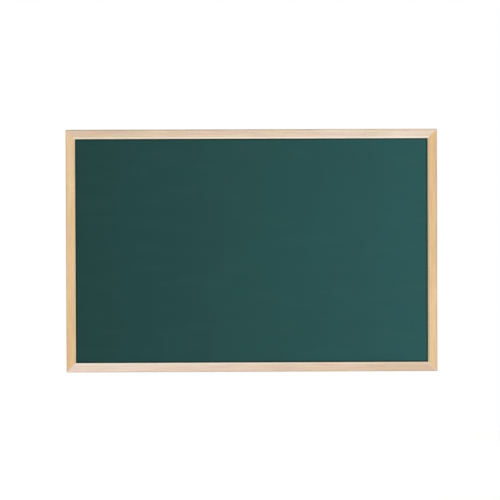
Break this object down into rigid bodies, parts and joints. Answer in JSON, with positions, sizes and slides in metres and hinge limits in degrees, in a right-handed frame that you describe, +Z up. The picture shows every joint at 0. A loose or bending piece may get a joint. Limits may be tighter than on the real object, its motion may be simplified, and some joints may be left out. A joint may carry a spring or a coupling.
{
  "type": "wall chalkboard",
  "caption": "Green chalkboard in a mitred natural wood frame that hangs flat on a wall from two swinging D rings, with a backing held in by steel points.",
  "frame": {"origin": "the middle of the board's outline, on the plane of the wall that the four bumpers rest against", "axes": "+X to the right as the writing surface is read, +Y into the wall, +Z up; the writing surface faces -Y"},
  "size_m": [0.918, 0.025, 0.6],
  "materials": {
    "frame_wood": "satin",
    "chalk_surface": "matte",
    "core_fibre": "matte",
    "hardboard": "matte",
    "nail_steel": "satin",
    "point_steel": "satin",
    "hanger_steel": "satin",
    "ring_steel": "satin",
    "screw_steel": "satin",
    "bumper_rubber": "matte"
  },
  "bodies": {
    "root": {"backing_board": "hardboard", "backing_point_bottom_1": "point_steel", "backing_point_bottom_2": "point_steel", "backing_point_bottom_3": "point_steel", "backing_point_bottom_4": "point_steel", "backing_point_left_1": "point_steel", "backing_point_left_2": "point_steel", "backing_point_left_3": "point_steel", "backing_point_right_1": "point_steel", "backing_point_right_2": "point_steel", "backing_point_right_3": "point_steel", "backing_point_top_1": "point_steel", "backing_point_top_2": "point_steel", "backing_point_top_3": "point_steel", "backing_point_top_4": "point_steel", "bottom_rail": "frame_wood", "bumper_bottom_left": "bumper_rubber", "bumper_bottom_right": "bumper_rubber", "bumper_top_left": "bumper_rubber", "bumper_top_right": "bumper_rubber", "core_board": "core_fibre", "corner_nail_bottom_left_inner": "nail_steel", "corner_nail_bottom_left_outer": "nail_steel", "corner_nail_bottom_right_inner": "nail_steel", "corner_nail_bottom_right_outer": "nail_steel", "corner_nail_top_left_inner": "nail_steel", "corner_nail_top_left_outer": "nail_steel", "corner_nail_top_right_inner": "nail_steel", "corner_nail_top_right_outer": "nail_steel", "left_hanger_screw_lower": "screw_steel", "left_hanger_screw_upper": "screw_steel", "left_hanger_strap": "hanger_steel", "left_stile": "frame_wood", "right_hanger_screw_lower": "screw_steel", "right_hanger_screw_upper": "screw_steel", "right_hanger_strap": "hanger_steel", "right_stile": "frame_wood", "top_rail": "frame_wood", "writing_sheet": "chalk_surface"},
    "left_ring": {"left_hanger_ring": "ring_steel"},
    "right_ring": {"right_hanger_ring": "ring_steel"}
  },
  "joints": [
    {"name": "left_ring_swing", "type": "hinge", "parent": "root", "child": "left_ring", "pos_m": [-0.451, -0.0027, 0.15], "axis": [1, 0, 0], "range_deg": [0, 176]},
    {"name": "right_ring_swing", "type": "hinge", "parent": "root", "child": "right_ring", "pos_m": [0.451, -0.0027, 0.15], "axis": [1, 0, 0], "range_deg": [0, 176]}
  ]
}
